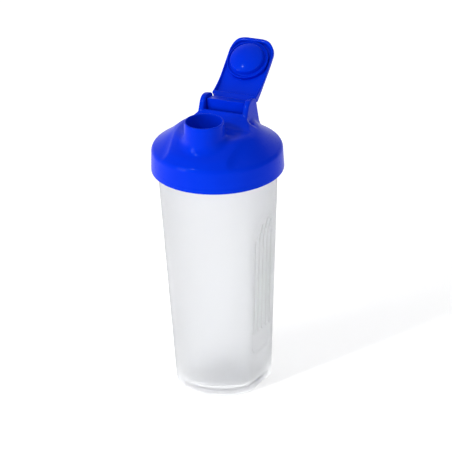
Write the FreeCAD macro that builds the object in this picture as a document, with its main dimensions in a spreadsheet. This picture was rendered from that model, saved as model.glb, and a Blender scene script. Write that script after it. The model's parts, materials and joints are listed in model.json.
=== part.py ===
"""Protein shaker bottle: a moulded cup, a screw-on lid with a drinking spout, a flip cap
that plugs the spout, a seal ring and a mixing grid.

Millimetres. Z is up, the origin is the centre of the resting face of the cup, the spout
points to -Y and the flip cap's hinge runs along X.
"""
import FreeCAD, Part
import math
import os
import Sketcher

V = FreeCAD.Vector

# Driving dimensions, in millimetres, degrees and turns. They fill the spreadsheet.
DIMENSIONS = {
    # cup wall, foot and neck
    "cup_foot_radius": 35.5,
    "cup_collar_radius": 44.17,
    "cup_collar_height": 172.0,
    "cup_wall": 1.6,
    "foot_hollow_height": 2.4,
    "foot_hollow_radius": 26.0,
    "foot_face_radius": 28.5,
    "foot_edge_round": 1.5,
    "floor_height": 4.2,
    "floor_round": 7.0,
    "floor_inner_radius": 34.1,
    "collar_inner_radius": 42.57,
    "neck_radius": 44.4,
    "neck_inner_radius": 42.8,
    "neck_start_height": 174.0,
    "rim_height": 186.6,
    # grip panels, pressed into two opposite sides of the cup
    "grip_turn": -7.0,
    "panel_distance_low": 32.0,
    "panel_distance_high": 37.3,
    "panel_top_height": 116.0,
    "panel_end_distance": 43.6,
    "panel_end_height": 148.5,
    "panel_end_radius": 104.0,
    "panel_reach": 70.0,
    "panel_lean": 2.62,
    "panel_inset": 1.9,
    "recess_depth": 0.55,
    "recess_half_width": 14.3,
    "recess_bottom": 30.0,
    "recess_shoulder": 116.0,
    "recess_arch_radius": 15.5,
    "recess_corner": 7.0,
    "rib_half_width": 1.5,
    "rib_end_radius": 1.6,
    "rib_pitch": 5.8,
    "rib_height": 1.7,
    "rib_root": 0.5,
    "rib_bottom": 47.0,
    "rib_top_middle": 141.0,
    "rib_top_next": 137.0,
    "rib_top_outer": 126.0,
    # screw thread, one start, right hand
    "thread_pitch": 5.0,
    "cup_thread_turns": 1.25,
    "cup_thread_height": 176.0,
    "cup_thread_root": 44.1,
    "cup_thread_crest": 45.9,
    "cup_thread_root_half": 1.5,
    "cup_thread_crest_half": 1.0,
    "lid_thread_turns": 1.0,
    "lid_thread_height": 174.85,
    "lid_thread_root": 47.5,
    "lid_thread_crest": 45.0,
    "lid_thread_root_half": 1.3,
    "lid_thread_crest_half": 0.8,
    # lid shell
    "skirt_radius": 49.0,
    "skirt_top_radius": 48.4,
    "skirt_top_height": 186.9,
    "skirt_inner_radius": 47.2,
    "skirt_edge_round": 0.6,
    "shoulder_end_radius": 46.6,
    "shoulder_end_height": 190.7,
    "shoulder_round": 4.9,
    "dome_radius": 29.5,
    "dome_height": 203.7,
    "dome_sweep": 120.0,
    "dome_centre_height": 204.4,
    "dome_round": 9.0,
    "land_height": 188.0,
    "land_corner_radius": 46.0,
    "land_corner_height": 186.8,
    "collar_radius": 41.7,
    "collar_bore_radius": 40.2,
    "collar_foot_height": 183.0,
    "ceiling_edge_height": 192.9,
    "ceiling_radius": 28.6,
    "ceiling_height": 201.3,
    # drinking spout
    "spout_offset": -22.4,
    "spout_radius": 14.5,
    "spout_bore_radius": 13.1,
    "spout_root_height": 190.5,
    "spout_root_radius": 15.6,
    "spout_rim_height": 218.4,
    "spout_rim_round": 0.5,
    "spout_blend": 3.0,
    # hinge tower: two ears and the low wall between them
    "hinge_y": 21.9,
    "hinge_height": 211.6,
    "ear_outer": 19.5,
    "ear_gap_half": 15.35,
    "ear_foot_height": 196.0,
    "ear_front_low_y": 3.9,
    "ear_front_high_y": 16.3,
    "ear_top_height": 219.8,
    "ear_crest_y": 23.0,
    "ear_back_high_y": 30.0,
    "ear_back_height": 217.4,
    "ear_back_low_y": 35.8,
    "ear_front_round": 7.0,
    "ear_crest_round": 10.0,
    "ear_back_round": 3.5,
    "ear_edge_round": 0.7,
    "wall_back_y": 13.9,
    "wall_top_height": 211.0,
    "gap_floor_height": 203.5,
    "gap_floor_back_y": 28.0,
    "gap_ramp_y": 41.0,
    "gap_ramp_height": 195.5,
    "gap_open_height": 230.0,
    "socket_radius": 2.58,
    "socket_reach": 17.75,
    # flip cap, drawn closed with its pivot at the origin of its own frame
    "cap_open_angle": 143.2,
    "cap_half_width": 17.5,
    "heel_half_width": 15.05,
    "shoulder_y": -11.5,
    "trunnion_radius": 2.5,
    "trunnion_reach": 17.55,
    "cap_plate_underside": 9.2,
    "tray_half_width": 16.1,
    "tray_tip_y": -60.6,
    "cap_tip_y": -63.7,
    "cap_tip_half": 5.5,
    "cap_tip_round": 12.0,
    "tip_round_y": -51.7,
    "tray_tip_round": 10.4,
    # spout plug
    "plug_y": -44.3,
    "plug_stud_radius": 5.0,
    "plug_stud_top": 10.2,
    "plug_seat_radius": 5.03,
    "plug_collar_radius": 15.7,
    "plug_collar_bore": 14.9,
    "plug_collar_edge": 5.8,
    "plug_groove_height": 6.95,
    "plug_root_radius": 12.82,
    "plug_edge_radius": 12.42,
    "plug_edge_height": 3.3,
    "plug_dome_radius": 24.0,
    "plug_tip_height": -0.11,
    "plug_collar_round": 0.3,
    # seal ring
    "seal_inner_radius": 42.2,
    "seal_outer_radius": 45.8,
    # mixing grid
    "grid_radius": 40.2,
    "grid_band": 1.5,
    "grid_band_top": 186.4,
    "grid_plate": 1.5,
    "grid_bottom": 183.0,
    "grid_hole_radius": 2.35,
    "grid_ring_step": 6.6,
}

doc = FreeCAD.newDocument("ProteinShaker")
sheet = doc.addObject("Spreadsheet::Sheet", "Dims")
for row, (alias, value) in enumerate(DIMENSIONS.items(), start=1):
    sheet.set("A%d" % row, alias)
    sheet.set("B%d" % row, repr(value))
    sheet.setAlias("B%d" % row, alias)
doc.recompute()


# ---------------------------------------------------------------- sizes as sums of aliases
def number(text):
    """Value of a sum such as 'skirt_radius - cup_wall'."""
    total, sign = 0.0, 1.0
    for word in text.split():
        if word in "+-":
            sign = -1.0 if word == "-" else 1.0
        else:
            total += sign * (DIMENSIONS[word] if word in DIMENSIONS else float(word))
            sign = 1.0
    return total


def formula(text):
    """The same sum as an expression on the spreadsheet."""
    return " ".join("Dims." + w if w in DIMENSIONS else w for w in text.split())


def bind(obj, prop, text):
    obj.setExpression(prop, formula(text))


# ---------------------------------------------------------------- bodies and sketches
def new_body(name):
    body = doc.addObject("PartDesign::Body", name)
    body.Label = name
    return body


def origin_item(body, role):
    return next(o for o in body.Origin.OriginFeatures if o.Role == role)


def new_sketch(body, name, role="XZ_Plane"):
    sketch = body.newObject("Sketcher::SketchObject", name)
    sketch.AttachmentSupport = [(origin_item(body, role), "")]
    sketch.MapMode = "FlatFace"
    return sketch


def locate(sketch, geo, pos, x, y):
    """Fix a point of the sketch at the sums x and y."""
    for kind, text, axis in (("DistanceX", x, -2), ("DistanceY", y, -1)):
        if text == "0":
            sketch.addConstraint(Sketcher.Constraint("PointOnObject", geo, pos, axis))
            continue
        index = sketch.addConstraint(
            Sketcher.Constraint(kind, -1, 1, geo, pos, number(text)))
        bind(sketch, "Constraints[%d]" % index, text)


def add_loop(sketch, path):
    """Closed outline through (x, y) corners. A third entry is the radius of the arc that
    leads on to the next corner, with its centre on the left of the way there, or on the
    right when a fourth entry says "right"."""
    ends = []
    count = len(path)
    for i, corner in enumerate(path):
        x, y = corner[:2]
        nx, ny = path[(i + 1) % count][:2]
        a, b = V(number(x), number(y), 0), V(number(nx), number(ny), 0)
        if len(corner) == 2:
            geo = sketch.addGeometry(Part.LineSegment(a, b), False)
            ends.append((geo, 1, 2))
            continue
        radius = number(corner[2])
        side = -1.0 if corner[3:] == ("right",) else 1.0
        half = (b - a).Length / 2.0
        left = V(a.y - b.y, b.x - a.x, 0).normalize()
        centre = (a + b) * 0.5 + left * (side * math.sqrt(max(radius ** 2 - half ** 2, 0.0)))
        angle_a = math.atan2(a.y - centre.y, a.x - centre.x)
        angle_b = math.atan2(b.y - centre.y, b.x - centre.x)
        first, last = (angle_a, angle_b) if side > 0 else (angle_b, angle_a)
        if last <= first:
            last += 2.0 * math.pi
        circle = Part.Circle(centre, V(0, 0, 1), radius)
        geo = sketch.addGeometry(Part.ArcOfCircle(circle, first, last), False)
        ends.append((geo, 1, 2) if side > 0 else (geo, 2, 1))
        index = sketch.addConstraint(Sketcher.Constraint("Radius", geo, radius))
        bind(sketch, "Constraints[%d]" % index, corner[2])
    for i, (geo, start, end) in enumerate(ends):
        after, after_start = ends[(i + 1) % count][:2]
        sketch.addConstraint(Sketcher.Constraint("Coincident", geo, end, after, after_start))
        locate(sketch, geo, start, path[i][0], path[i][1])


def add_circle(sketch, x, y, radius):
    geo = sketch.addGeometry(
        Part.Circle(V(number(x), number(y), 0), V(0, 0, 1), number(radius)), False)
    index = sketch.addConstraint(Sketcher.Constraint("Radius", geo, number(radius)))
    bind(sketch, "Constraints[%d]" % index, radius)
    locate(sketch, geo, 3, x, y)


# ---------------------------------------------------------------- features
def revolve(body, name, sketch, cut=False):
    feature = body.newObject("PartDesign::Groove" if cut else "PartDesign::Revolution", name)
    feature.Profile = sketch
    feature.ReferenceAxis = (sketch, ["V_Axis"])
    feature.Angle = 360
    return checked(body, feature, cut)


def extrude(body, name, sketch, length, cut=False, symmetric=False, reverse=False):
    feature = body.newObject("PartDesign::Pocket" if cut else "PartDesign::Pad", name)
    feature.Profile = sketch
    feature.Type = "Length"
    bind(feature, "Length", length)
    if symmetric:
        feature.SideType = "Symmetric"
    feature.Reversed = reverse
    return checked(body, feature, cut)


def helix(body, name, sketch, pitch, turns):
    feature = body.newObject("PartDesign::AdditiveHelix", name)
    feature.Profile = sketch
    feature.ReferenceAxis = (sketch, ["V_Axis"])
    feature.Mode = "pitch-turns-angle"
    bind(feature, "Pitch", pitch)
    bind(feature, "Turns", turns)
    return checked(body, feature, False)


def around(body, name, originals, occurrences):
    """Repeat features about the body's vertical axis."""
    feature = body.newObject("PartDesign::PolarPattern", name)
    feature.Originals = originals
    feature.Axis = (origin_item(body, "Z_Axis"), [""])
    feature.Angle = 360
    feature.Occurrences = occurrences
    body.Tip = feature
    doc.recompute()
    return feature


def round_edges(body, name, radius, wanted):
    """Fillet the edges of the body so far for which wanted(edge) is true."""
    base = body.Tip
    edges = ["Edge%d" % i for i, e in enumerate(base.Shape.Edges, start=1) if wanted(e)]
    if not edges:
        raise ValueError("no edge found for " + name)
    feature = body.newObject("PartDesign::Fillet", name)
    feature.Base = (base, edges)
    bind(feature, "Radius", radius)
    return checked(body, feature, None)


def checked(body, feature, cut):
    """Recompute, and make sure that a cut removed and a pad added material."""
    before = feature.BaseFeature.Shape.Volume if feature.BaseFeature else 0.0
    doc.recompute()
    after = feature.Shape.Volume
    if cut is True and after > before - 0.01 or cut is False and after < before + 0.01:
        raise ValueError("%s changed nothing: %.3f to %.3f" % (feature.Name, before, after))
    return feature


def near(value, text, tolerance=0.02):
    return abs(value - number(text)) < tolerance


def level_circle(edge, height):
    return (not edge.Degenerated and isinstance(edge.Curve, Part.Circle)
            and near(edge.BoundBox.ZMin, height) and near(edge.BoundBox.ZMax, height))


def circle_at(edge, radius, height):
    """True for a level circle of this radius and height."""
    return level_circle(edge, height) and near(edge.Curve.Radius, radius)


# ---------------------------------------------------------------- cup
def grip_flats(body, prefix, inset):
    """Flat on the +X side that leans out with the cup and runs out in an arched top."""
    sketch = new_sketch(body, prefix + "_flat_profile")
    low = "panel_distance_low - " + inset
    add_loop(sketch, [
        (low, "0"),
        ("panel_reach", "0"),
        ("panel_reach", "panel_end_height"),
        ("panel_end_distance - " + inset, "panel_end_height", "panel_end_radius", "left"),
        ("panel_distance_high - " + inset, "panel_top_height"),
    ])
    return extrude(body, prefix + "_flat", sketch, "panel_reach + panel_reach", cut=True,
                   symmetric=True)


def panel_sketch(body, name, outward):
    """Sketch that lies in the leaning plane of the +X flat, moved outward by a sum."""
    sketch = new_sketch(body, name, "YZ_Plane")
    sketch.AttachmentOffset = FreeCAD.Placement(
        V(0, 0, number("panel_distance_low + " + outward)),
        FreeCAD.Rotation(V(1, 0, 0), number("panel_lean")))
    bind(sketch, "AttachmentOffset.Base.z", "panel_distance_low + " + outward)
    return sketch


def grip_recess(body):
    sketch = panel_sketch(body, "recess_outline", "6")
    add_loop(sketch, [
        ("- recess_half_width", "recess_bottom + recess_corner", "recess_corner", "left"),
        ("- recess_half_width + recess_corner", "recess_bottom"),
        ("recess_half_width - recess_corner", "recess_bottom", "recess_corner", "left"),
        ("recess_half_width", "recess_bottom + recess_corner"),
        ("recess_half_width", "recess_shoulder", "recess_arch_radius", "left"),
        ("- recess_half_width", "recess_shoulder"),
    ])
    return extrude(body, "grip_recess", sketch, "recess_depth + 6", cut=True)


def grip_ribs(body):
    sketch = panel_sketch(body, "rib_outlines", "- recess_depth - rib_root")
    tops = {0: "rib_top_middle", 1: "rib_top_next", 2: "rib_top_outer"}
    for step in (-2, -1, 0, 1, 2):
        sign = "-" if step < 0 else "+"
        middle = " ".join([sign + " rib_pitch"] * abs(step))
        left = (middle + " - rib_half_width").strip()
        right = (middle + " + rib_half_width").strip()
        top = tops[abs(step)] + " - rib_end_radius"
        bottom = "rib_bottom + rib_end_radius"
        add_loop(sketch, [
            (left, bottom, "rib_end_radius", "left"),
            (right, bottom),
            (right, top, "rib_end_radius", "left"),
            (left, top),
        ])
    return extrude(body, "grip_ribs", sketch, "rib_height")


def cup_outside():
    body = new_body("cup_outside")
    sketch = new_sketch(body, "cup_profile")
    add_loop(sketch, [
        ("0", "foot_hollow_height"),
        ("foot_hollow_radius", "foot_hollow_height"),
        ("foot_face_radius", "0"),
        ("cup_foot_radius", "0"),
        ("cup_collar_radius", "cup_collar_height"),
        ("neck_radius", "neck_start_height"),
        ("neck_radius", "rim_height"),
        ("0", "rim_height"),
    ])
    revolve(body, "cup_solid", sketch)
    round_edges(body, "foot_edge", "foot_edge_round",
                lambda e: circle_at(e, "cup_foot_radius", "0"))
    flat = grip_flats(body, "outer", "0")
    recess = grip_recess(body)
    ribs = grip_ribs(body)
    around(body, "both_grips", [flat, recess, ribs], 2)
    thread = new_sketch(body, "cup_thread_profile")
    add_loop(thread, [
        ("cup_thread_root", "cup_thread_height - cup_thread_root_half"),
        ("cup_thread_crest", "cup_thread_height - cup_thread_crest_half"),
        ("cup_thread_crest", "cup_thread_height + cup_thread_crest_half"),
        ("cup_thread_root", "cup_thread_height + cup_thread_root_half"),
    ])
    helix(body, "cup_thread", thread, "thread_pitch", "cup_thread_turns")
    return body


def cup_inside():
    body = new_body("cup_inside")
    sketch = new_sketch(body, "hollow_profile")
    add_loop(sketch, [
        ("0", "floor_height"),
        ("floor_inner_radius", "floor_height"),
        ("collar_inner_radius", "cup_collar_height"),
        ("neck_inner_radius", "neck_start_height"),
        ("neck_inner_radius", "rim_height + 5"),
        ("0", "rim_height + 5"),
    ])
    revolve(body, "hollow_solid", sketch)
    round_edges(body, "floor_edge", "floor_round",
                lambda e: circle_at(e, "floor_inner_radius", "floor_height"))
    flat = grip_flats(body, "inner", "panel_inset")
    around(body, "both_inner_flats", [flat], 2)
    return body


def make_bottle():
    bottle = doc.addObject("Part::Cut", "bottle")
    bottle.Label = "bottle"
    bottle.Base = cup_outside()
    bottle.Tool = cup_inside()
    bottle.Placement = FreeCAD.Placement(V(0, 0, 0), V(0, 0, 1), number("grip_turn"))
    bind(bottle, "Placement.Rotation.Angle", "grip_turn")
    doc.recompute()
    return bottle


# ---------------------------------------------------------------- lid
def lid_shell(body):
    sketch = new_sketch(body, "lid_profile")
    add_loop(sketch, [
        ("0", "cup_collar_height"),
        ("skirt_radius", "cup_collar_height"),
        ("skirt_top_radius", "skirt_top_height", "shoulder_round", "left"),
        ("shoulder_end_radius", "shoulder_end_height", "dome_sweep", "right"),
        ("dome_radius", "dome_height"),
        ("0", "dome_centre_height"),
    ])
    revolve(body, "lid_solid", sketch)
    round_edges(body, "dome_edge", "dome_round",
                lambda e: circle_at(e, "dome_radius", "dome_height"))
    round_edges(body, "skirt_edge", "skirt_edge_round",
                lambda e: circle_at(e, "skirt_radius", "cup_collar_height"))


def lid_spout(body):
    sketch = new_sketch(body, "spout_profile")
    add_loop(sketch, [
        ("0", "spout_root_height"),
        ("spout_root_radius", "spout_root_height"),
        ("spout_radius", "spout_rim_height"),
        ("0", "spout_rim_height"),
    ])
    sketch.AttachmentOffset = FreeCAD.Placement(V(0, 0, -number("spout_offset")),
                                                FreeCAD.Rotation())
    bind(sketch, "AttachmentOffset.Base.z", "- spout_offset")
    revolve(body, "spout", sketch)
    spout_y = number("spout_offset")

    def foot_line(edge):
        box = edge.BoundBox
        return (box.YMin > spout_y - 18 and box.YMax < spout_y + 18
                and box.XLength > 20 and box.ZMin > 192 and box.ZMax < 206)
    round_edges(body, "spout_foot", "spout_blend", foot_line)


def lid_ears(body):
    sketch = new_sketch(body, "ear_profile", "YZ_Plane")
    add_loop(sketch, [
        ("ear_front_low_y", "ear_foot_height"),
        ("ear_back_low_y", "ear_foot_height"),
        ("ear_back_high_y", "ear_back_height"),
        ("ear_crest_y", "ear_top_height"),
        ("ear_front_high_y", "ear_top_height"),
    ])
    extrude(body, "ear_block", sketch, "ear_outer + ear_outer", symmetric=True)

    def cross_edge(y, z):
        return lambda e: (near(e.BoundBox.ZMin, z) and near(e.BoundBox.YMin, y)
                          and e.BoundBox.XLength > 20)
    round_edges(body, "ear_front_top", "ear_front_round",
                cross_edge("ear_front_high_y", "ear_top_height"))
    round_edges(body, "ear_crest", "ear_crest_round",
                cross_edge("ear_crest_y", "ear_top_height"))
    round_edges(body, "ear_back_top", "ear_back_round",
                cross_edge("ear_back_high_y", "ear_back_height"))
    gap = new_sketch(body, "gap_profile", "YZ_Plane")
    add_loop(gap, [
        ("ear_front_low_y", "wall_top_height"),
        ("wall_back_y", "wall_top_height"),
        ("wall_back_y", "gap_floor_height"),
        ("gap_floor_back_y", "gap_floor_height"),
        ("gap_ramp_y", "gap_ramp_height"),
        ("gap_ramp_y", "gap_open_height"),
        ("ear_front_low_y", "gap_open_height"),
    ])
    extrude(body, "ear_gap", gap, "ear_gap_half + ear_gap_half", cut=True, symmetric=True)

    def outer_rim(edge):
        box = edge.BoundBox
        return (near(abs(box.XMin), "ear_outer") and box.XLength < 0.01
                and box.ZMin > 205.0 and box.YMin > 9.0)
    round_edges(body, "ear_edges", "ear_edge_round", outer_rim)
    sockets = new_sketch(body, "socket_profile", "YZ_Plane")
    add_circle(sockets, "hinge_y", "hinge_height", "socket_radius")
    extrude(body, "hinge_sockets", sockets, "socket_reach + socket_reach", cut=True,
            symmetric=True)


def lid_hollow(body):
    sketch = new_sketch(body, "lid_hollow_profile")
    add_loop(sketch, [
        ("0", "cup_collar_height - 1"),
        ("skirt_inner_radius", "cup_collar_height - 1"),
        ("skirt_inner_radius", "land_corner_height"),
        ("land_corner_radius", "land_height"),
        ("collar_radius", "land_height"),
        ("collar_radius", "collar_foot_height"),
        ("collar_bore_radius", "collar_foot_height"),
        ("collar_bore_radius", "ceiling_edge_height"),
        ("ceiling_radius", "ceiling_height"),
        ("0", "ceiling_height"),
    ])
    revolve(body, "lid_hollow", sketch, cut=True)


def make_lid():
    body = new_body("screw_lid")
    lid_shell(body)
    lid_spout(body)
    lid_ears(body)
    lid_hollow(body)
    passage = new_sketch(body, "passage_outline", "XY_Plane")
    add_circle(passage, "0", "spout_offset", "spout_bore_radius")
    extrude(body, "spout_passage", passage, "spout_rim_height + 5", cut=True, reverse=True)
    round_edges(body, "spout_rim", "spout_rim_round",
                lambda e: level_circle(e, "spout_rim_height"))
    thread = new_sketch(body, "lid_thread_profile", "YZ_Plane")
    add_loop(thread, [
        ("lid_thread_crest", "lid_thread_height - lid_thread_crest_half"),
        ("lid_thread_root", "lid_thread_height - lid_thread_root_half"),
        ("lid_thread_root", "lid_thread_height + lid_thread_root_half"),
        ("lid_thread_crest", "lid_thread_height + lid_thread_crest_half"),
    ])
    helix(body, "lid_thread", thread, "thread_pitch", "lid_thread_turns")
    return body


# ---------------------------------------------------------------- flip cap and plug
def open_placement(body):
    """Stand the closed cap on its pivot, swung open about the hinge."""
    body.Placement = FreeCAD.Placement(
        V(0, number("hinge_y"), number("hinge_height")),
        FreeCAD.Rotation(V(-1, 0, 0), number("cap_open_angle")))
    bind(body, "Placement.Base.y", "hinge_y")
    bind(body, "Placement.Base.z", "hinge_height")
    bind(body, "Placement.Rotation.Angle", "cap_open_angle")
    doc.recompute()


def make_flip_cap():
    body = new_body("flip_cap")
    side = new_sketch(body, "cap_profile", "YZ_Plane")
    add_loop(side, [
        ("4.6", "- 0.8"),
        ("- 0.5", "- 7.6"),
        ("- 6.0", "- 1.5"),
        ("- 8.6", "2.2"),
        ("- 14.5", "4.1", "60", "left"),
        ("- 30.0", "7.7"),
        ("- 55.0", "7.7"),
        ("- 61.4", "5.7"),
        ("- 63.6", "6.4"),
        ("- 63.3", "9.7", "14", "right"),
        ("- 56.0", "11.7", "170", "right"),
        ("- 28.0", "11.2", "120", "right"),
        ("- 2.5", "8.2", "9", "left"),
        ("5.6", "3.4"),
    ])
    extrude(body, "cap_slab", side, "cap_half_width + cap_half_width", symmetric=True)

    waist = new_sketch(body, "waist_outline", "XY_Plane")
    for sign in ("-", "+"):
        inner, outer = sign + " heel_half_width", sign + " cap_half_width " + sign + " 5"
        corners = [(inner, "shoulder_y"), (outer, "shoulder_y"), (outer, "20"), (inner, "20")]
        add_loop(waist, corners)
    extrude(body, "waist", waist, "60", cut=True, symmetric=True)

    tray = new_sketch(body, "tray_profile", "YZ_Plane")
    add_loop(tray, [
        ("- 14.2", "- 12"),
        ("- 14.2", "7.3", "30", "left"),
        ("- 27.0", "cap_plate_underside"),
        ("tray_tip_y", "cap_plate_underside"),
        ("tray_tip_y", "- 12"),
    ])
    extrude(body, "tray", tray, "tray_half_width + tray_half_width", cut=True, symmetric=True)
    round_edges(body, "tray_corners", "tray_tip_round",
                lambda e: near(abs(e.BoundBox.XMin), "tray_half_width")
                and e.BoundBox.XLength < 0.01 and near(e.BoundBox.YMin, "tray_tip_y")
                and e.BoundBox.YLength < 0.01)
    tip = new_sketch(body, "tip_outline", "XY_Plane")
    for sign, side_word in (("-", "left"), ("+", "right")):
        add_loop(tip, [
            (sign + " cap_half_width", "tip_round_y", "cap_tip_round", side_word),
            (sign + " cap_tip_half", "cap_tip_y"),
            (sign + " cap_tip_half", "cap_tip_y - 10"),
            (sign + " cap_half_width " + sign + " 5", "cap_tip_y - 10"),
            (sign + " cap_half_width " + sign + " 5", "tip_round_y"),
        ])
    extrude(body, "tip_corners", tip, "60", cut=True, symmetric=True)
    pins = new_sketch(body, "trunnion_profile", "YZ_Plane")
    add_circle(pins, "0", "0", "trunnion_radius")
    extrude(body, "trunnions", pins, "trunnion_reach + trunnion_reach", symmetric=True)
    seat = new_sketch(body, "plug_seat_outline", "XY_Plane")
    add_circle(seat, "0", "plug_y", "plug_seat_radius")
    extrude(body, "plug_seat", seat, "plug_stud_top", cut=True, reverse=True)
    open_placement(body)
    return body


def make_plug():
    body = new_body("spout_plug")
    sketch = new_sketch(body, "plug_profile")
    add_loop(sketch, [
        ("0", "plug_tip_height", "plug_dome_radius", "left"),
        ("plug_edge_radius", "plug_edge_height"),
        ("plug_root_radius", "plug_groove_height"),
        ("plug_collar_bore", "plug_groove_height"),
        ("plug_collar_bore", "plug_collar_edge"),
        ("plug_collar_radius", "plug_collar_edge"),
        ("plug_collar_radius", "cap_plate_underside"),
        ("plug_stud_radius", "cap_plate_underside"),
        ("plug_stud_radius", "plug_stud_top"),
        ("0", "plug_stud_top"),
    ])
    sketch.AttachmentOffset = FreeCAD.Placement(V(0, 0, -number("plug_y")),
                                                FreeCAD.Rotation())
    bind(sketch, "AttachmentOffset.Base.z", "- plug_y")
    revolve(body, "plug", sketch)
    round_edges(body, "collar_edge", "plug_collar_round",
                lambda e: circle_at(e, "plug_collar_radius", "plug_collar_edge"))
    open_placement(body)
    return body


# ---------------------------------------------------------------- seal and grid
def make_seal():
    body = new_body("lid_seal")
    sketch = new_sketch(body, "seal_profile")
    add_loop(sketch, [
        ("seal_inner_radius", "rim_height"),
        ("seal_outer_radius", "rim_height"),
        ("seal_outer_radius", "land_height"),
        ("seal_inner_radius", "land_height"),
    ])
    revolve(body, "seal_ring", sketch)
    return body


def make_grid():
    """Perforated disc in a short band that clips inside the lid's inner collar."""
    body = new_body("mixing_grid")
    sketch = new_sketch(body, "grid_profile")
    add_loop(sketch, [
        ("0", "grid_bottom"),
        ("grid_radius", "grid_bottom"),
        ("grid_radius", "grid_band_top"),
        ("grid_radius - grid_band", "grid_band_top"),
        ("grid_radius - grid_band", "grid_bottom + grid_plate"),
        ("0", "grid_bottom + grid_plate"),
    ])
    revolve(body, "grid_disc", sketch)
    middle = new_sketch(body, "middle_hole", "XY_Plane")
    add_circle(middle, "0", "0", "grid_hole_radius")
    extrude(body, "middle_opening", middle, "grid_band_top", cut=True, reverse=True)
    for ring in range(1, 6):
        hole = new_sketch(body, "ring%d_hole" % ring, "XY_Plane")
        add_circle(hole, " + ".join(["grid_ring_step"] * ring), "0", "grid_hole_radius")
        pocket = extrude(body, "ring%d_opening" % ring, hole, "grid_band_top", cut=True,
                         reverse=True)
        around(body, "ring%d_openings" % ring, [pocket], 6 * ring)
    return body


parts = [make_bottle(), make_lid(), make_flip_cap(), make_plug(), make_seal(), make_grid()]
doc.recompute()

for obj in doc.Objects:
    if "Invalid" in obj.State or "Error" in obj.State:
        raise ValueError("%s failed: %s" % (obj.Name, obj.State))
for part in parts:
    if part.Shape.isNull() or not part.Shape.isValid() or len(part.Shape.Solids) != 1:
        raise ValueError("%s is not one valid solid" % part.Label)

os.makedirs("parts", exist_ok=True)
for part in parts:
    part.Shape.exportStep(os.path.join("parts", part.Label + ".step"))
    box = part.Shape.BoundBox
    print("%-12s volume %9.1f mm3  x %.1f..%.1f  y %.1f..%.1f  z %.1f..%.1f" % (
        part.Label, part.Shape.Volume, box.XMin, box.XMax, box.YMin, box.YMax,
        box.ZMin, box.ZMax))
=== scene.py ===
"""Looks of the shaker bottle: moulded blue lid and flip cap, frosted cup, soft studio."""
import json
import math

import bpy
import numpy as np
from mathutils import Matrix, Vector


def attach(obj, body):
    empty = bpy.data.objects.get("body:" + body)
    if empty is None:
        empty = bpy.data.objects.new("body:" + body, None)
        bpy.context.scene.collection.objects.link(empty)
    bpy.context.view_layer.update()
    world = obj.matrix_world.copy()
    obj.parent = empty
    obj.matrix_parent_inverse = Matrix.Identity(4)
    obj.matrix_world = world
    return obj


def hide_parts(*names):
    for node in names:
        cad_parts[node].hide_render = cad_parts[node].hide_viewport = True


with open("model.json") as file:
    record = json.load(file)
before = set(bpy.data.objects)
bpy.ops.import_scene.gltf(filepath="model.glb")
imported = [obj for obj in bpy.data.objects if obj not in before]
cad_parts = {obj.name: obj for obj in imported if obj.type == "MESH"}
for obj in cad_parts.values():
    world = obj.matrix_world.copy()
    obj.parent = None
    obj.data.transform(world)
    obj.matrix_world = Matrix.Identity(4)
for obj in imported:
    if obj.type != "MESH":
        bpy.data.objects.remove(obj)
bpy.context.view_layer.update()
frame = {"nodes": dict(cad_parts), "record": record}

MM = 0.001


def entry_named(entries, name):
    return next(entry for entry in entries if entry["name"] == name)


# ---------------------------------------------------------------- places from the frame
cap_hinge = entry_named(frame["record"]["behaviour"]["joints"], "cap_flip")
spout_mount = entry_named(frame["record"]["mounts"], "spout_bore")
HINGE_Y, HINGE_Z = (place / MM for place in cap_hinge["pos_m"][1:])
CAP_OPEN = math.radians(cap_hinge["range_deg"][1])
SPOUT_Y = spout_mount["pos_m"][1] / MM
SPOUT_BORE_R = spout_mount["dims"]["r_mm"]

# ---------------------------------------------------------------- sizes, in millimetres
# An outline is a list of (a, b) points. A third number is the radius of an arc to the next
# point, positive with its centre on the left of the way there and negative on the right.

# cup
FOOT_R, COLLAR_R, COLLAR_Z = 35.5, 44.17, 172.0
CUP_WALL = 1.6
NECK_R, NECK_IN_R, NECK_Z, RIM_Z, RIM_DROP = 44.4, 42.8, 174.0, 186.6, 0.6
FOOT_HOLLOW_Z, FOOT_HOLLOW_R, FOOT_FACE_R, FOOT_ROUND = 2.4, 26.0, 28.5, 1.5
FLOOR_Z, FLOOR_ROUND = 4.2, 7.0
AXIS_R = 0.02
# grip flats, their recess and ribs
GRIP_TURN = math.radians(-7.0)
PANEL_LOW, PANEL_HIGH, PANEL_TOP_Z = 32.0, 37.3, 116.0
PANEL_END_R, PANEL_INSET, PANEL_EDGE = 104.0, 1.9, 0.9
PANEL_REACH = math.radians(65)
RELIEF_TOP_Z = 160.0
RECESS_DEPTH, RECESS_HALF, RECESS_BOTTOM, RECESS_TOP = 0.55, 14.3, 30.0, 122.0
RECESS_ARCH_R, RECESS_ARCH_DROP, RECESS_CORNER = 15.5, 6.0, 7.0
RIB_PITCH, RIB_HALF, RIB_HEIGHT, RIB_BOTTOM, RIB_SPREAD = 5.8, 1.5, 1.2, 47.0, 0.25
RIB_TOPS = {0: 141.0, 1: 137.0, 2: 126.0}
RELIEF_SLOPE = 0.9
# screw thread on the neck
THREAD_PITCH, THREAD_Z, THREAD_TURNS = 5.0, 176.0, 1.25
THREAD_HEIGHT, THREAD_HALF, THREAD_FLANK, THREAD_RUN_OUT = 1.5, 1.75, 0.8, 0.04

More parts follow.
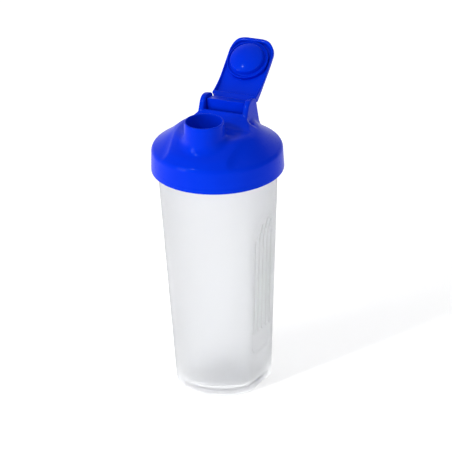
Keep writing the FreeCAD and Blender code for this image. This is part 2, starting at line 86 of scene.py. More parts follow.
# lid, as (radius, height) outlines turned about the axis
LID_OUTSIDE = [(0.0, COLLAR_Z), (49.0, COLLAR_Z), (48.4, 186.9, 4.9), (46.6, 190.7, -120.0),
               (32.1, 201.5, 9.0), (26.1, 203.95), (0.0, 204.4)]
LID_HOLLOW = [(47.2, 150.0), (47.2, 186.8), (46.0, 188.0), (41.7, 188.0), (41.7, 183.0),
              (40.2, 183.0), (40.2, 192.9), (28.6, 201.3)]
LID_TABLE = ((0, 56), (166, 210), 0.1)
LID_LOW, LID_HIGH = (-50.3, -50.3, 171.1), (50.3, 50.3, 221.1)
LID_STEP, LID_STEP_QUICK = 0.55, 0.8
SKIRT_EDGE, HOLLOW_EDGE = 0.9, 0.5
# spout, and the width of its blend into the dome: more at the rear, fading out upward
SPOUT_RIM_Z, SPOUT_R, SPOUT_ROOT_R, SPOUT_ROOT_Z = 218.4, 14.5, 15.6, 190.5
SPOUT_RIM_EDGE, SPOUT_ROOT_EDGE, SPOUT_BORE_EDGE = 1.0, 0.5, 1.0
SPOUT_BLEND, SPOUT_REAR_BLEND = 4.2, 5.0
SPOUT_REAR_Y, SPOUT_REAR_SPAN = -24.0, 14.0
SPOUT_FADE_Z, SPOUT_FADE_SPAN = 210.0, 5.0
# hinge ears and the gap between them, seen from the side as (y, z) corners
EAR_CORNERS = [((3.9, 196.0), 0.0), ((35.8, 196.0), 0.0), ((30.0, 217.4), 3.5),
               ((23.0, 219.8), 10.0), ((16.3, 219.8), 7.0)]
GAP_OUTLINE = [(3.9, 211.0), (13.9, 211.0), (13.9, 203.5), (28.0, 203.5), (41.0, 195.5),
               (41.0, 235.0), (3.9, 235.0)]
EAR_TABLE = ((0, 56), (168, 224), 0.1)
EAR_OUTER, EAR_EDGE = 19.5, 1.3
EAR_GAP, GAP_EDGE, GAP_MOUTH_EDGE = 15.35, 0.8, 1.2
EAR_BLEND, EAR_FRONT_BLEND = 2.6, 8.4
EAR_FRONT_Y, EAR_FRONT_SPAN = 15.0, 7.0
SOCKET_R, SOCKET_REACH = 2.58, 17.75

# flip cap lying closed: x across, u forward from its pivot, w up
CAP_SIDE = [(-4.6, -0.8), (0.5, -7.6), (6.0, -1.5), (8.6, 2.2), (14.5, 4.1, -60.0), (30.0, 7.7),
            (55.0, 7.7), (61.4, 5.7), (63.6, 6.4), (63.3, 9.7, 14.0), (56.0, 11.7, 170.0),
            (28.0, 11.2, 120.0), (2.5, 8.2, 9.0), (-5.6, 3.4)]
TRAY_W = 9.2
TRAY_HALF, TRAY_TIP, TRAY_TIP_ROUND = 16.1, 60.6, 10.4
TRAY_SIDE = [(14.2, -12.0), (14.2, 7.3, -30.0), (27.0, TRAY_W), (TRAY_TIP, TRAY_W),
             (TRAY_TIP, -12.0)]
CAP_TABLE = ((-12, 70), (-14, 16), 0.08)
CAP_LOW, CAP_HIGH = (-19.1, -8.6, -9.3), (19.1, 66.4, 13.1)
CAP_STEP, CAP_STEP_QUICK = 0.42, 0.6
CAP_HALF, CAP_TIP, CAP_TIP_ROUND = 17.5, 63.7, 12.0
HEEL_HALF, WAIST_U, WAIST_EDGE = 15.05, 11.5, 1.0
CAP_EDGE, TRAY_WALL_EDGE, TRAY_MOUTH_EDGE = 1.3, 1.2, 0.9
TRUNNION_R, TRUNNION_REACH, TRUNNION_EDGE = 2.5, 17.55, 0.4
# plug under the flip cap, as (radius, w) sizes
PLUG_U = 44.3
PLUG_SEAT_R, PLUG_SEAT_W = 5.0, 10.1
PLUG_COLLAR_R, PLUG_COLLAR_BORE_R, PLUG_COLLAR_W = 15.7, 14.9, 5.8
PLUG_COLLAR_ROUND, PLUG_COLLAR_BORE_ROUND = 0.35, 0.3
PLUG_GROOVE_R, PLUG_GROOVE_W, PLUG_GROOVE_ROUND = 13.4, 6.95, 0.65
PLUG_ROOT_R, PLUG_ROOT_W = 12.79, 6.3
PLUG_SIDE_R, PLUG_SIDE_W, PLUG_SIDE_ROUND = 12.5, 4.0, 1.3
DOME_REACH, DOME_EDGE_W, DOME_LOW, DOME_R = 11.7, 2.95, -0.11, 24.0

# ---------------------------------------------------------------- studio
# Azimuths and elevations are degrees, azimuths from the camera to its right.
CAMERA_TURN = 23.5
CAMERA_BACK, CAMERA_UP = 2397.6, 1269.5
CAMERA_PITCH, CAMERA_ROLL, CAMERA_YAW = 0.44575, 0.029501, 0.001998
CAMERA_SENSOR, CAMERA_LENS, CAMERA_FAR = 36.0, 285.977, 50.0
KEY_AZIMUTH = -62.0
WORLD_DARK, WORLD_BRIGHT, WORLD_UP = 0.16, 0.62, 30.0
# name, azimuth, elevation, distance in metres, size in metres, watts
LIGHTS = [("softbox", KEY_AZIMUTH, 10, 1.5, (0.40, 0.8), 8),
          ("key", -50, 39, 1.9, (0.11, 0.11), 9),
          ("fill", 38, 14, 1.8, (1.2, 1.2), 3),
          ("top", 0, 90, 2.6, (2.4, 2.4), 6)]
LIGHT_AIM_Z = 0.15
# floor, in metres: flat, then a quarter turn up to the back wall
FLAT_ROWS = (-6.0, -2.0, 0.0, 2.0, 4.0)
SWEEP_Y, SWEEP_R, WALL_Z, FLOOR_HALF = 4.0, 2.0, 7.0, 7.0


# ---------------------------------------------------------------- distance fields
def smooth(t):
    """0 to 1, level at both ends."""
    t = np.clip(t, 0.0, 1.0)
    return t * t * (3.0 - 2.0 * t)


def smin(a, b, k):
    """Union of two distances, blended over a width k."""
    h = np.clip(0.5 + 0.5 * (b - a) / k, 0.0, 1.0)
    return b + (a - b) * h - k * h * (1.0 - h)


def smax(a, b, k):
    """Intersection of two distances, its edge rounded over a width k."""
    return -smin(-a, -b, k)


def arc(p, q, radius, left=True, steps=14):
    """Points of the arc from p to q, without q, its centre on the left or right."""
    p, q = np.array(p, float), np.array(q, float)
    half = np.linalg.norm(q - p) / 2.0
    normal = np.array([p[1] - q[1], q[0] - p[0]]) / (2.0 * half)
    offset = math.sqrt(max(radius ** 2 - half ** 2, 0.0)) * (1.0 if left else -1.0)
    centre = (p + q) / 2.0 + normal * offset
    a0 = math.atan2(*(p - centre)[::-1])
    a1 = math.atan2(*(q - centre)[::-1])
    turn = (a1 - a0) % (2 * math.pi) if left else -((a0 - a1) % (2 * math.pi))
    angles = a0 + turn * np.arange(steps) / steps
    return [tuple(centre + radius * np.array([math.cos(t), math.sin(t)])) for t in angles]


def traced(outline):
    """The outline's points, with those of its arcs."""
    points = []
    for here, after in zip(outline, outline[1:] + outline[:1]):
        if len(here) == 2:
            points.append(here)
        else:
            points += arc(here[:2], after[:2], abs(here[2]), here[2] > 0)
    return points


def rounded(corners, steps=10):
    """Outline of (corner, radius) pairs with a fillet at each corner that has a radius."""
    outline = []
    for n, (corner, radius) in enumerate(corners):
        corner = np.array(corner, float)
        before = np.array(corners[n - 1][0], float) - corner
        after = np.array(corners[(n + 1) % len(corners)][0], float) - corner
        before, after = before / np.linalg.norm(before), after / np.linalg.norm(after)
        if not radius:
            outline.append(tuple(corner))
            continue
        half = math.acos(np.clip(before @ after, -1.0, 1.0)) / 2.0
        reach = radius / math.tan(half)
        centre = corner + (before + after) / np.linalg.norm(before + after) * (
            radius / math.sin(half))
        start, end = corner + before * reach - centre, corner + after * reach - centre
        a0 = math.atan2(start[1], start[0])
        turn = (math.atan2(end[1], end[0]) - a0 + math.pi) % (2 * math.pi) - math.pi
        outline += [tuple(centre + radius * np.array([math.cos(t), math.sin(t)]))
                    for t in a0 + turn * np.arange(steps + 1) / steps]
    return outline


def polygon_distance(x, y, points):
    """Signed distance to a polygon, negative inside."""
    points = np.array(points, float)
    nearest = np.full(x.shape, np.inf)
    inside = np.zeros(x.shape, bool)
    for (ax, ay), (bx, by) in zip(points, np.roll(points, -1, axis=0)):
        ex, ey = bx - ax, by - ay
        wx, wy = x - ax, y - ay
        t = np.clip((wx * ex + wy * ey) / (ex * ex + ey * ey + 1e-12), 0.0, 1.0)
        nearest = np.minimum(nearest, (wx - ex * t) ** 2 + (wy - ey * t) ** 2)
        if abs(ey) > 1e-9:
            crosses = (ay > y) != (by > y)
            inside ^= crosses & (x < ax + ex * (y - ay) / ey)
    return np.sqrt(nearest) * np.where(inside, -1.0, 1.0)


def table_2d(points, x_range, y_range, step):
    """The polygon's distance as a function that reads between the cells of a fine table."""
    xs = np.arange(x_range[0], x_range[1] + step, step)
    ys = np.arange(y_range[0], y_range[1] + step, step)
    grid = polygon_distance(*np.meshgrid(xs, ys, indexing="ij"), points)

    def distance(x, y):
        fx = np.clip((x - xs[0]) / step, 0, len(xs) - 1.001)
        fy = np.clip((y - ys[0]) / step, 0, len(ys) - 1.001)
        ix, iy = fx.astype(int), fy.astype(int)
        tx, ty = fx - ix, fy - iy
        low = grid[ix, iy] * (1 - tx) + grid[ix + 1, iy] * tx
        high = grid[ix, iy + 1] * (1 - tx) + grid[ix + 1, iy + 1] * tx
        return low * (1 - ty) + high * ty
    return distance


def surface_nets(field, low, high, step):
    """Quads of the zero surface of a field, its vertices moved on to the surface."""
    axes = [np.arange(a, b + step, step) for a, b in zip(low, high)]
    values = field(*np.meshgrid(*axes, indexing="ij"))
    inside = values < 0
    cells = tuple(n - 1 for n in values.shape)
    corners = [(i, j, k) for i in (0, 1) for j in (0, 1) for k in (0, 1)]

    def at(array, c):
        return array[c[0]:c[0] + cells[0], c[1]:c[1] + cells[1], c[2]:c[2] + cells[2]]
    count = sum(at(inside, c).astype(np.int8) for c in corners)
    active = (count > 0) & (count < 8)
    index = np.full(cells, -1, np.int64)
    index[active] = np.arange(active.sum())
    where = np.argwhere(active)
    total = np.zeros((len(where), 3))
    crossings = np.zeros(len(where))
    base = tuple(where.T)
    for a in corners:
        for axis in range(3):
            if a[axis]:
                continue
            b = list(a)
            b[axis] = 1
            va = values[tuple(base[d] + a[d] for d in range(3))]
            vb = values[tuple(base[d] + b[d] for d in range(3))]
            cross = (va < 0) != (vb < 0)
            t = np.where(cross, va / np.where(va == vb, 1.0, va - vb), 0.0)
            point = np.tile(np.array(a, float), (len(where), 1))
            point[:, axis] = t
            total += point * cross[:, None]
            crossings += cross
    verts = (where + total / crossings[:, None]) * step + np.array([a[0] for a in axes])
    return settled(field, verts, step), net_faces(inside, index)


def settled(field, verts, step, probe=0.05, rounds=3):
    """The vertices after a few steps down the field's slope to its zero surface."""
    for _ in range(rounds):
        d = field(*verts.T)
        grad = np.stack([field(*(verts + e).T) - field(*(verts - e).T)
                         for e in np.eye(3) * probe], axis=1) / (2 * probe)
        size = np.maximum((grad ** 2).sum(1, keepdims=True), 0.2)
        verts = verts - np.clip(d[:, None] * grad / size, -0.6 * step, 0.6 * step)
    return verts


def net_faces(inside, index):
    """A quad round each grid edge that crosses the surface, facing outward."""
    faces = []
    for axis in range(3):
        u, v = (axis + 1) % 3, (axis + 2) % 3
        lo = [slice(None)] * 3
        hi = [slice(None)] * 3
        lo[axis], hi[axis] = slice(0, -1), slice(1, None)
        outward = inside[tuple(lo)]
        spots = np.argwhere(outward != inside[tuple(hi)])
        keep = ((spots[:, u] > 0) & (spots[:, v] > 0)
                & (spots[:, u] < inside.shape[u] - 1) & (spots[:, v] < inside.shape[v] - 1))
        spots = spots[keep]
        ring = []
        for du, dv in ((-1, -1), (0, -1), (0, 0), (-1, 0)):
            cell = spots.copy()
            cell[:, u] += du
            cell[:, v] += dv
            ring.append(index[tuple(cell.T)])
        quads = np.stack(ring, axis=1)
        flip = ~outward[tuple(spots.T)]
        quads[flip] = quads[flip][:, ::-1]
        faces.append(quads)
    return np.concatenate(faces)


# ---------------------------------------------------------------- meshes
def make_object(name, verts_mm, faces, material):
    """A smooth-shaded object of quads, its vertices given in millimetres."""
    mesh = bpy.data.meshes.new(name)
    verts = np.asarray(verts_mm, float) * MM
    faces = np.asarray(faces, np.int64)
    mesh.vertices.add(len(verts))
    mesh.vertices.foreach_set("co", verts.ravel())
    mesh.loops.add(faces.size)
    mesh.loops.foreach_set("vertex_index", faces.ravel().astype(np.int32))
    mesh.polygons.add(len(faces))
    mesh.polygons.foreach_set("loop_start", np.arange(len(faces), dtype=np.int32) * 4)
    mesh.update(calc_edges=True)
    mesh.validate()
    mesh.polygons.foreach_set("use_smooth", np.ones(len(mesh.polygons), bool))
    mesh.materials.append(material)
    obj = bpy.data.objects.new(name, mesh)
    bpy.context.scene.collection.objects.link(obj)
    return obj


def ring_faces(rows, columns):
    """Quads between rows of points, each row closed round on itself."""
    r, c = np.meshgrid(np.arange(rows - 1), np.arange(columns), indexing="ij")
    c2 = (c + 1) % columns
    return np.stack([r * columns + c, r * columns + c2, (r + 1) * columns + c2,
                     (r + 1) * columns + c], axis=2).reshape(-1, 4)


def lathe(points, segments):
    """Quads of an outline turned about Z. Points on the axis become tiny rings."""
    points = np.array(points, float)
    points[:, 0] = np.maximum(points[:, 0], AXIS_R)
    angles = np.arange(segments) * 2 * math.pi / segments
    verts = np.stack([points[:, None, 0] * np.cos(angles), points[:, None, 0] * np.sin(angles),
                      np.broadcast_to(points[:, None, 1], (len(points), segments))], axis=2)
    return verts.reshape(-1, 3), ring_faces(len(points), segments)


# ---------------------------------------------------------------- lid
def lid_field():
    """Skirt, dome, spout and hinge ears as one moulding, hollow below."""
    outside = traced(LID_OUTSIDE)
    outside = [(-x, z) for x, z in reversed(outside) if x > 0] + outside
    hollow = [(-LID_HOLLOW[0][0], LID_HOLLOW[0][1])] + LID_HOLLOW
    hollow += [(-x, z) for x, z in reversed(LID_HOLLOW[1:])]
    solid_of = table_2d(outside, *LID_TABLE)
    hollow_of = table_2d(hollow, *LID_TABLE)
    ear_of = table_2d(rounded(EAR_CORNERS), *EAR_TABLE)
    gap_of = table_2d(GAP_OUTLINE, *EAR_TABLE)
    spout_lean = (SPOUT_ROOT_R - SPOUT_R) / (SPOUT_RIM_Z - SPOUT_ROOT_Z)

    def field(x, y, z):
        radius = np.sqrt(x * x + y * y)
        spout_r = np.sqrt(x * x + (y - SPOUT_Y) ** 2)
        body = smax(solid_of(radius, z), COLLAR_Z - z, SKIRT_EDGE)

        ears = smax(ear_of(y, z), np.abs(x) - EAR_OUTER, EAR_EDGE)
        front = smooth((EAR_FRONT_Y - y) / EAR_FRONT_SPAN)
        body = smin(body, ears, EAR_BLEND + EAR_FRONT_BLEND * front)

        wall = spout_r - SPOUT_R - (SPOUT_RIM_Z - z) * spout_lean
        spout = smax(smax(wall, z - SPOUT_RIM_Z, SPOUT_RIM_EDGE), SPOUT_ROOT_Z - z,
                     SPOUT_ROOT_EDGE)
        rear = smooth((y - SPOUT_REAR_Y) / SPOUT_REAR_SPAN)
        rear = rear * smooth((SPOUT_FADE_Z - z) / SPOUT_FADE_SPAN)
        body = smin(body, spout, SPOUT_BLEND + SPOUT_REAR_BLEND * rear)

        gap = smax(gap_of(y, z), np.abs(x) - EAR_GAP, GAP_EDGE)
        body = smax(body, -gap, GAP_MOUTH_EDGE)
        body = smax(body, -hollow_of(radius, z), HOLLOW_EDGE)
        socket = np.sqrt((y - HINGE_Y) ** 2 + (z - HINGE_Z) ** 2) - SOCKET_R
        body = np.maximum(body, -np.maximum(socket, np.abs(x) - SOCKET_REACH))
        return smax(body, SPOUT_BORE_R - spout_r, SPOUT_BORE_EDGE)
    return field


def make_lid(material):
    step = LID_STEP
    verts, faces = surface_nets(lid_field(), LID_LOW, LID_HIGH, step)
    lid = make_object("lid_moulding", verts, faces, material)
    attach(lid, "lid")
    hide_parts("screw_lid")


# ---------------------------------------------------------------- flip cap
def opened(verts):
    """Points of the closed cap (x, u, w), at the open pose in the object's frame."""
    x, u, w = np.asarray(verts, float).T
    y = -u
    c, s = math.cos(-CAP_OPEN), math.sin(-CAP_OPEN)
    return np.stack([x, HINGE_Y + y * c - w * s, HINGE_Z + y * s + w * c], axis=1)


def rounded_tip(x, u, half, tip, radius):
    """Distance to a strip along u, its far end's two corners rounded."""
    px = np.abs(x) - (half - radius)
    pu = u - (tip - radius)
    return np.where((px > 0) & (pu > 0), np.sqrt(px * px + pu * pu),
                    np.maximum(px, pu)) - radius


def cap_field():
    """Arm with a narrower heel, hollowed into a tray below, and the two hinge stubs."""
    side_of = table_2d(traced(CAP_SIDE), *CAP_TABLE)
    tray_of = table_2d(traced(TRAY_SIDE), *CAP_TABLE)

    def field(x, u, w):
        ax = np.abs(x)
        plan = rounded_tip(x, u, CAP_HALF, CAP_TIP, CAP_TIP_ROUND)
        plan = smax(plan, np.minimum(WAIST_U - u, ax - HEEL_HALF), WAIST_EDGE)
        body = smax(side_of(u, w), plan, CAP_EDGE)
        tray_plan = rounded_tip(x, u, TRAY_HALF, TRAY_TIP, TRAY_TIP_ROUND)
        body = smax(body, -smax(tray_of(u, w), tray_plan, TRAY_WALL_EDGE), TRAY_MOUTH_EDGE)
        pin = np.sqrt(u * u + w * w) - TRUNNION_R
        return np.minimum(body, smax(pin, ax - TRUNNION_REACH, TRUNNION_EDGE))
    return field


def make_cap(material):
    step = CAP_STEP
    verts, faces = surface_nets(cap_field(), CAP_LOW, CAP_HIGH, step)
    cap = make_object("cap_moulding", opened(verts), faces[:, ::-1], material)
    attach(cap, "cap")
    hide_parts("flip_cap")


def plug_outline():
    """Seat, collar, groove, side and shallow dome, from the top down to the axis."""
    points = [(0.0, PLUG_SEAT_W), (PLUG_SEAT_R, PLUG_SEAT_W), (PLUG_SEAT_R, TRAY_W),
              (PLUG_COLLAR_R, TRAY_W)]
    points += arc((PLUG_COLLAR_R, PLUG_COLLAR_W + PLUG_COLLAR_ROUND),
                  (PLUG_COLLAR_R - PLUG_COLLAR_ROUND, PLUG_COLLAR_W),
                  PLUG_COLLAR_ROUND, False, 6)
    bore_edge = (PLUG_COLLAR_BORE_R, PLUG_COLLAR_W + PLUG_COLLAR_BORE_ROUND)
    points += arc((PLUG_COLLAR_BORE_R + PLUG_COLLAR_BORE_ROUND, PLUG_COLLAR_W), bore_edge,
                  PLUG_COLLAR_BORE_ROUND, False, 6)
    points += [bore_edge, (PLUG_COLLAR_BORE_R, PLUG_GROOVE_W)]
    root = (PLUG_ROOT_R, PLUG_ROOT_W)
    points += arc((PLUG_GROOVE_R, PLUG_GROOVE_W), root, PLUG_GROOVE_ROUND, True, 6) + [root]
    points += arc((PLUG_SIDE_R, PLUG_SIDE_W), (DOME_REACH, DOME_EDGE_W), PLUG_SIDE_ROUND,
                  False, 8)
    for t in np.linspace(0.0, 1.0, 22):
        r = DOME_REACH * (1.0 - t)
        points.append((r, DOME_LOW + DOME_R - math.sqrt(DOME_R ** 2 - r * r)))
    return points


def make_plug(material):
    verts, faces = lathe(plug_outline(), 160)
    verts[:, 1] += PLUG_U
    plug = make_object("plug_moulding", opened(verts), faces, material)
    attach(plug, "cap")
    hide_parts("spout_plug")


# ---------------------------------------------------------------- cup
def panel_distance(z, inset):
    """How far the grip flat stands from the cup's axis at a height."""
    slope = (PANEL_HIGH - PANEL_LOW) / PANEL_TOP_Z
    over = np.maximum(z - PANEL_TOP_Z, 0.0)
    return PANEL_LOW + slope * z + over ** 2 / (2.0 * PANEL_END_R) - inset


def rib_height(t, z):
    """Relief of the recess and its ribs on the flat; t runs across it."""
    top = RECESS_TOP + np.sqrt(np.maximum(RECESS_ARCH_R ** 2 - t * t, 0.0)) - RECESS_ARCH_DROP
    edge = np.minimum(np.minimum(RECESS_HALF - np.abs(t), z - RECESS_BOTTOM), top - z)
    corner_t = np.abs(t) - (RECESS_HALF - RECESS_CORNER)
    corner_z = (RECESS_BOTTOM + RECESS_CORNER) - z
    corner = RECESS_CORNER - np.sqrt(np.maximum(corner_t, 0) ** 2 + np.maximum(corner_z, 0) ** 2)
    edge = np.where((corner_t > 0) & (corner_z > 0), np.minimum(edge, corner), edge)
    relief = -RECESS_DEPTH * smooth(edge / RELIEF_SLOPE + 0.5)
    for n in (-2, -1, 0, 1, 2):
        along = np.clip(z, RIB_BOTTOM + RIB_HALF, RIB_TOPS[abs(n)] - RIB_HALF)
        off = np.sqrt((t - n * RIB_PITCH) ** 2 + (z - along) ** 2)
        relief = relief + RIB_HEIGHT * smooth((RIB_HALF + RIB_SPREAD - off) / RELIEF_SLOPE)
    return relief


def cup_radius(angle, z, inside=False, ribs=False):
    """Radius of the cup's outer or inner face: a cone with a flat on each side."""
    slope = (COLLAR_R - FOOT_R) / COLLAR_Z
    radius = FOOT_R + slope * np.minimum(z, COLLAR_Z)
    radius = radius + np.clip((z - COLLAR_Z) / (NECK_Z - COLLAR_Z), 0, 1) * (NECK_R - COLLAR_R)
    radius = radius - (CUP_WALL if inside else 0.0)
    for side in (0.0, math.pi):
        off = (angle - GRIP_TURN - side + math.pi) % (2 * math.pi) - math.pi
        near = np.abs(off) < PANEL_REACH
        d = panel_distance(z, PANEL_INSET if inside else 0.0)
        if ribs:
            d = d + rib_height(d * np.tan(np.where(near, off, 0.0)), z)
        flat = np.where(near, d / np.where(near, np.cos(off), 1.0), 1e3)
        radius = smin(radius, flat, PANEL_EDGE)
    return radius


def thread_ridge(angle, z):
    """Relief of the screw thread on the neck, with run-outs at its two ends."""
    relief = np.zeros_like(z)
    for lap in (0, 1):
        turn = (angle - GRIP_TURN) % (2 * math.pi) / (2 * math.pi) + lap
        off = np.abs(z - (THREAD_Z + THREAD_PITCH * turn))
        ends = smooth((THREAD_TURNS - turn) / THREAD_RUN_OUT) * smooth(turn / THREAD_RUN_OUT)
        ridge = THREAD_HEIGHT * smooth((THREAD_HALF - off) / THREAD_FLANK)
        relief = np.maximum(relief, ridge * ends)
    return relief


def cup_angles(fine):
    """Angles round the cup, closer together on the two grip flats."""
    half = math.radians(29)
    grip = np.linspace(-half, half, int(116 / fine))
    between = np.linspace(half, math.pi - half, int(62 / fine) + 2)[1:-1]
    return np.concatenate([grip, between, grip + math.pi, between + math.pi]) + GRIP_TURN


def foot_rows(angles):
    """Hollow under the foot, its standing ring and the round up to the wall."""
    rows = [(r, FOOT_HOLLOW_Z) for r in (AXIS_R, 8.0, 16.0, 24.0, FOOT_HOLLOW_R - 0.5)]
    for t in np.linspace(0.1, 0.9, 5):
        rows.append((FOOT_HOLLOW_R + (FOOT_FACE_R - FOOT_HOLLOW_R) * t,
                     FOOT_HOLLOW_Z * (1.0 - smooth(t))))
    ring_start = FOOT_FACE_R + 0.4
    ring_end = cup_radius(angles, np.zeros_like(angles)) - FOOT_ROUND
    rows += [(ring_start + (ring_end - ring_start) * t, 0.0) for t in (0.0, 0.5, 1.0)]
    for t in np.radians([15, 30, 45, 60, 75]):
        z = FOOT_ROUND * (1 - math.cos(t))
        edge = cup_radius(angles, np.full_like(angles, z))
        rows.append((edge - FOOT_ROUND * (1 - math.sin(t)), z))
    return rows


def wall_rows(angles, fine):
    """Outer wall with its grip flats, then the threaded neck and the rim."""
    rows = []
    for z in np.concatenate([np.arange(1.5, 26, 2.5), np.arange(27, 52, 1.2 * fine),
                             np.arange(52, 112, 3.0), np.arange(112, 150, 1.2 * fine),
                             np.arange(150, 172, 2.0), np.arange(172.5, 185.9, 0.45)]):
        zs = np.full_like(angles, z)
        radius = cup_radius(angles, zs, ribs=z < RELIEF_TOP_Z)
        if z > COLLAR_Z:
            radius = radius + thread_ridge(angles, zs)
        rows.append((radius, z))
    rim = (NECK_R - NECK_IN_R) / 2.0
    for t in np.radians(np.arange(15, 180, 15)):
        rows.append((NECK_R - rim + rim * math.cos(t),
                     RIM_Z - RIM_DROP + RIM_DROP * math.sin(t)))
    return rows


def inner_rows(angles):
    """Inner wall from the rim down, the round at its foot and the floor."""
    rows = []
    for z in np.concatenate([np.arange(185.5, 172, -3.0), np.arange(171, 12, -3.0)]):
        wall = cup_radius(angles, np.full_like(angles, z), inside=True)
        rows.append((wall if z < COLLAR_Z else NECK_IN_R, z))
    for t in np.radians(np.arange(0, 91, 15)):
        z = FLOOR_Z + FLOOR_ROUND * (1 - math.sin(t))
        wall = cup_radius(angles, np.full_like(angles, max(z, 5.0)), inside=True)
        rows.append((wall - FLOOR_ROUND * (1 - math.cos(t)), z))
    return rows + [(r, FLOOR_Z) for r in (20.0, 12.0, 6.0, AXIS_R)]


def make_cup(material):
    fine = 0.5
    angles = cup_angles(fine)
    rows = foot_rows(angles) + wall_rows(angles, fine) + inner_rows(angles)
    radii = np.stack([np.broadcast_to(r, angles.shape) for r, _ in rows])
    heights = np.stack([np.full_like(angles, z) for _, z in rows])
    verts = np.stack([radii * np.cos(angles), radii * np.sin(angles), heights], axis=2)
    faces = ring_faces(len(rows), len(angles))
    cup = make_object("cup_moulding", verts.reshape(-1, 3), faces, material)
    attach(cup, "cup")
    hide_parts("bottle")


# ---------------------------------------------------------------- materials
def set_sockets(node, values):
    for name, value in values.items():
        node.inputs[name].default_value = value


def node_material(name):
    material = bpy.data.materials.new(name)
    material.use_nodes = True
    tree = material.node_tree
    return material, tree, tree.nodes["Principled BSDF"]


def noise(tree, scale, detail=2.0):
    coords = tree.nodes.new("ShaderNodeTexCoord")
    node = tree.nodes.new("ShaderNodeTexNoise")
    set_sockets(node, {"Scale": scale, "Detail": detail, "Roughness": 0.5})
    tree.links.new(coords.outputs["Object"], node.inputs["Vector"])
    return node


def vary_colour(tree, shader, source, one, other):
    """Base colour between two close shades, by a noise."""
    mix = tree.nodes.new("ShaderNodeMix")
    mix.data_type = "RGBA"
    set_sockets(mix, {"A": (*one, 1), "B": (*other, 1)})
    tree.links.new(source.outputs["Fac"], mix.inputs["Factor"])
    tree.links.new(mix.outputs["Result"], shader.inputs["Base Color"])


def vary(tree, shader, socket, source, spread, values):
    """A socket between two values, by a noise over the given part of its spread."""
    node = tree.nodes.new("ShaderNodeMapRange")
    set_sockets(node, {"From Min": spread[0], "From Max": spread[1],
                       "To Min": values[0], "To Max": values[1]})
    tree.links.new(source.outputs["Fac"], node.inputs["Value"])
    tree.links.new(node.outputs["Result"], shader.inputs[socket])


def add_bump(tree, shader, source, strength, distance):
    bump = tree.nodes.new("ShaderNodeBump")
    set_sockets(bump, {"Strength": strength, "Distance": distance})
    tree.links.new(source.outputs["Fac"], bump.inputs["Height"])
    tree.links.new(bump.outputs["Normal"], shader.inputs["Normal"])


def blue_plastic():
    """Moulded polypropylene: a slight flow mottle in colour and gloss.

    Its index and tint are set below real polypropylene's (about 1.49), because white
    reflections of the pale room would wash the blue out.
    """
    material, tree, shader = node_material("blue_polypropylene")
    vary_colour(tree, shader, noise(tree, 38.0, 3.0), (0.0, 0.022, 0.62), (0.0, 0.032, 0.70))
    vary(tree, shader, "Roughness", noise(tree, 900.0), (0.3, 0.7), (0.27, 0.33))
    add_bump(tree, shader, noise(tree, 160.0), 0.10, 0.0004)
    set_sockets(shader, {"IOR": 1.12, "Specular Tint": (0.0, 0.80, 1.0, 1),
                         "Specular IOR Level": 0.5, "Coat Weight": 0.08,
                         "Coat Roughness": 0.11, "Coat IOR": 1.4})
    return material


def frosted_plastic():
    """Natural polypropylene: milky, lets soft light through, satin outside."""
    material, tree, shader = node_material("frosted_polypropylene")
    vary_colour(tree, shader, noise(tree, 22.0, 3.0), (0.965, 0.975, 0.99), (0.98, 0.985, 0.995))
    grain = noise(tree, 700.0)
    vary(tree, shader, "Roughness", grain, (0.3, 0.7), (0.42, 0.50))
    add_bump(tree, shader, grain, 0.12, 0.0002)
    set_sockets(shader, {"IOR": 1.45, "Transmission Weight": 0.90})
    return material


def silicone():
    """White silicone rubber with a faint mottle."""
    material, tree, shader = node_material("white_silicone")
    vary(tree, shader, "Base Color", noise(tree, 60.0), (0.2, 0.8), (0.80, 0.90))
    add_bump(tree, shader, noise(tree, 500.0), 0.2, 0.0002)
    set_sockets(shader, {"Roughness": 0.55})
    return material


def floor_material():
    """Matt white, with a little light of its own so that the sweep stays white."""
    material, tree, shader = node_material("studio_sweep")
    vary(tree, shader, "Base Color", noise(tree, 3.0), (0.2, 0.8), (0.93, 0.95))
    set_sockets(shader, {"Roughness": 0.9, "Specular IOR Level": 0.1,
                         "Emission Color": (1.0, 1.0, 1.0, 1), "Emission Strength": 0.38})
    return material


# ---------------------------------------------------------------- studio
def toward(azimuth, elevation):
    """Unit vector from the bottle; azimuth is from the camera, to its right, in degrees."""
    turn, up = math.radians(CAMERA_TURN + azimuth), math.radians(elevation)
    return Vector((math.sin(turn) * math.cos(up), -math.cos(turn) * math.cos(up),
                   math.sin(up)))


def make_floor():
    """A pale sweep: flat under the bottle, curving up far behind it."""
    rows = [(y, 0.0) for y in FLAT_ROWS]
    rows += [(SWEEP_Y + SWEEP_R * math.sin(t), SWEEP_R - SWEEP_R * math.cos(t))
             for t in np.linspace(0.1, math.pi / 2, 12)]
    rows += [(SWEEP_Y + SWEEP_R, WALL_Z)]
    across = np.linspace(-FLOOR_HALF, FLOOR_HALF, 9)
    verts = [(x / MM, y / MM, z / MM) for y, z in rows for x in across]
    n = len(across)
    faces = [(r * n + c, r * n + c + 1, (r + 1) * n + c + 1, (r + 1) * n + c)
             for r in range(len(rows) - 1) for c in range(n - 1)]
    floor = make_object("studio_floor", verts, faces, floor_material())
    floor.rotation_euler = (0.0, 0.0, math.radians(CAMERA_TURN))


def area_light(name, azimuth, elevation, distance, size, power):
    """Soft box aimed at the middle of the bottle."""
    place = toward(azimuth, elevation) * distance
    light = bpy.data.lights.new(name, "AREA")
    light.shape = "RECTANGLE"
    light.size, light.size_y = size
    light.energy = power
    lamp = bpy.data.objects.new(name, light)
    lamp.location = place + Vector((0.0, 0.0, LIGHT_AIM_Z))
    lamp.rotation_euler = (-place).to_track_quat("-Z", "Y").to_euler()
    bpy.context.scene.collection.objects.link(lamp)


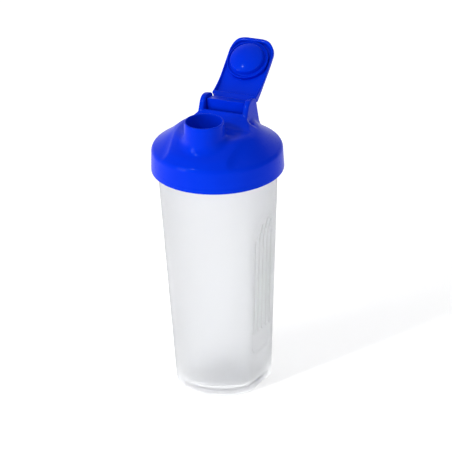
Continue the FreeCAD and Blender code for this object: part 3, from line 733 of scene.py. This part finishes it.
def make_camera():
    """A long lens in front of the bottle and above it; pitch, roll and yaw are radians."""
    data = bpy.data.cameras.new("camera")
    data.sensor_width = CAMERA_SENSOR
    data.lens = CAMERA_LENS
    data.clip_end = CAMERA_FAR
    camera = bpy.data.objects.new("camera", data)
    turn = Matrix.Rotation(math.radians(CAMERA_TURN), 4, "Z")
    place = Matrix.Translation((0.0, -CAMERA_BACK * MM, CAMERA_UP * MM))
    yaw = Matrix.Rotation(-CAMERA_YAW, 4, "Z")
    tilt = Matrix.Rotation(math.pi / 2 - CAMERA_PITCH, 4, "X")
    roll = Matrix.Rotation(-CAMERA_ROLL, 4, "Z")
    camera.matrix_world = turn @ place @ yaw @ tilt @ roll
    bpy.context.scene.collection.objects.link(camera)
    bpy.context.scene.camera = camera


def make_world():
    """A white room, brighter on the softbox's side and darker across from it."""
    world = bpy.data.worlds.new("studio")
    world.use_nodes = True
    tree = world.node_tree
    coords = tree.nodes.new("ShaderNodeTexCoord")
    side = tree.nodes.new("ShaderNodeVectorMath")
    side.operation = "DOT_PRODUCT"
    side.inputs[1].default_value = toward(KEY_AZIMUTH, WORLD_UP)
    glow = tree.nodes.new("ShaderNodeMapRange")
    set_sockets(glow, {"From Min": -1.0, "From Max": 1.0,
                       "To Min": WORLD_DARK, "To Max": WORLD_BRIGHT})
    background = tree.nodes["Background"]
    background.inputs["Color"].default_value = (1.0, 1.0, 1.0, 1)
    tree.links.new(coords.outputs["Generated"], side.inputs[0])
    tree.links.new(side.outputs["Value"], glow.inputs["Value"])
    tree.links.new(glow.outputs["Result"], background.inputs["Strength"])
    bpy.context.scene.world = world


# ---------------------------------------------------------------- build
make_camera()
make_world()
make_floor()
for light in LIGHTS:
    area_light(*light)
bpy.context.scene.view_settings.view_transform = "Standard"

blue = blue_plastic()
make_lid(blue)
make_cap(blue)
make_plug(blue)
make_cup(frosted_plastic())

for node, material in (("mixing_grid", blue), ("lid_seal", silicone())):
    mesh = frame["nodes"][node].data
    mesh.materials.clear()
    mesh.materials.append(material)
